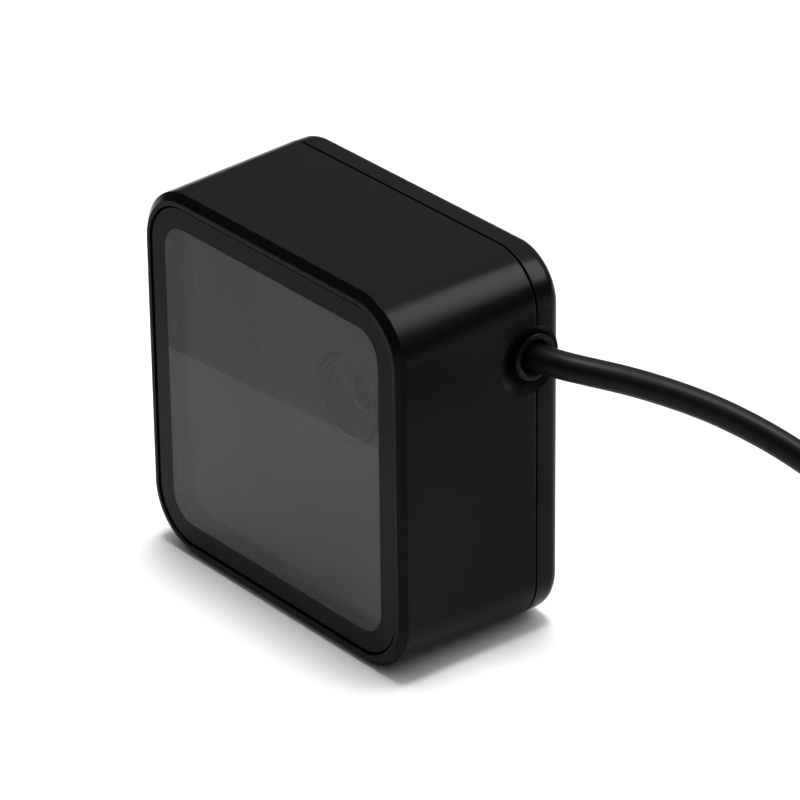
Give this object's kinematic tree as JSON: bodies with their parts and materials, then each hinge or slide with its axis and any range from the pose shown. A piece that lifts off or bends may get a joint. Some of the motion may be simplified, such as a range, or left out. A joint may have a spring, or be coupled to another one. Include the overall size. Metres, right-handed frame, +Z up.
{
  "type": "barcode scanner",
  "caption": "Square box-shaped desktop barcode scanner with a smoked front window, a rear cover and a lead that leaves its side and ends in a USB plug.",
  "frame": {"origin": "centre of the base on the surface that the scanner stands on, without its lead", "axes": "+Z up, -Y out of the window, +X towards the side that the lead leaves"},
  "size_m": [0.2334, 0.0868, 0.0802],
  "materials": {
    "housing": "fine satin black",
    "cover": "fine satin black",
    "bezel": "matte black",
    "smoked_window": "smoked acrylic, polished",
    "gasket": "black foam",
    "chamber": "dark grey, matte",
    "diffuser": "milky grey",
    "optics_black": "black, matte",
    "lens_glass": "polished",
    "sensor": "polished",
    "circuit_board": "solder mask, satin",
    "led": "moulded resin",
    "chip": "moulded resin",
    "socket": "ivory plastic",
    "wire": "insulated wires",
    "grommet": "black, satin",
    "cable_jacket": "black, smooth",
    "tie": "hook and loop strap",
    "plug_plastic": "black, satin",
    "plug_metal": "nickel plated",
    "plug_insert": "white plastic",
    "screw_steel": "dark zinc plated",
    "insert_brass": "knurled brass"
  },
  "bodies": {
    "root": {"front_shell": "housing", "rear_cover": "cover", "window_bezel": "bezel", "window": "smoked_window", "window_gasket": "gasket", "light_chamber": "chamber", "diffuser": "diffuser", "camera_hood": "optics_black", "lens_holder": "optics_black", "lens": "lens_glass", "image_sensor": "sensor", "camera_board": "circuit_board", "light_board": "circuit_board", "illumination_leds": "led", "aimer_lens": "lens_glass", "aimer_led": "led", "main_board": "circuit_board", "decoder_chip": "chip", "memory_chip": "chip", "board_link": "chip", "beeper": "chip", "cable_socket": "socket", "cable_leads": "wire", "strain_relief": "grommet", "cable": "cable_jacket", "cable_coil": "cable_jacket", "cable_tie": "tie", "plug_body": "plug_plastic", "plug_shell": "plug_metal", "plug_contacts": "plug_insert", "cover_screws": "screw_steel", "board_screws": "screw_steel", "mounting_inserts": "insert_brass"}
  },
  "joints": []
}
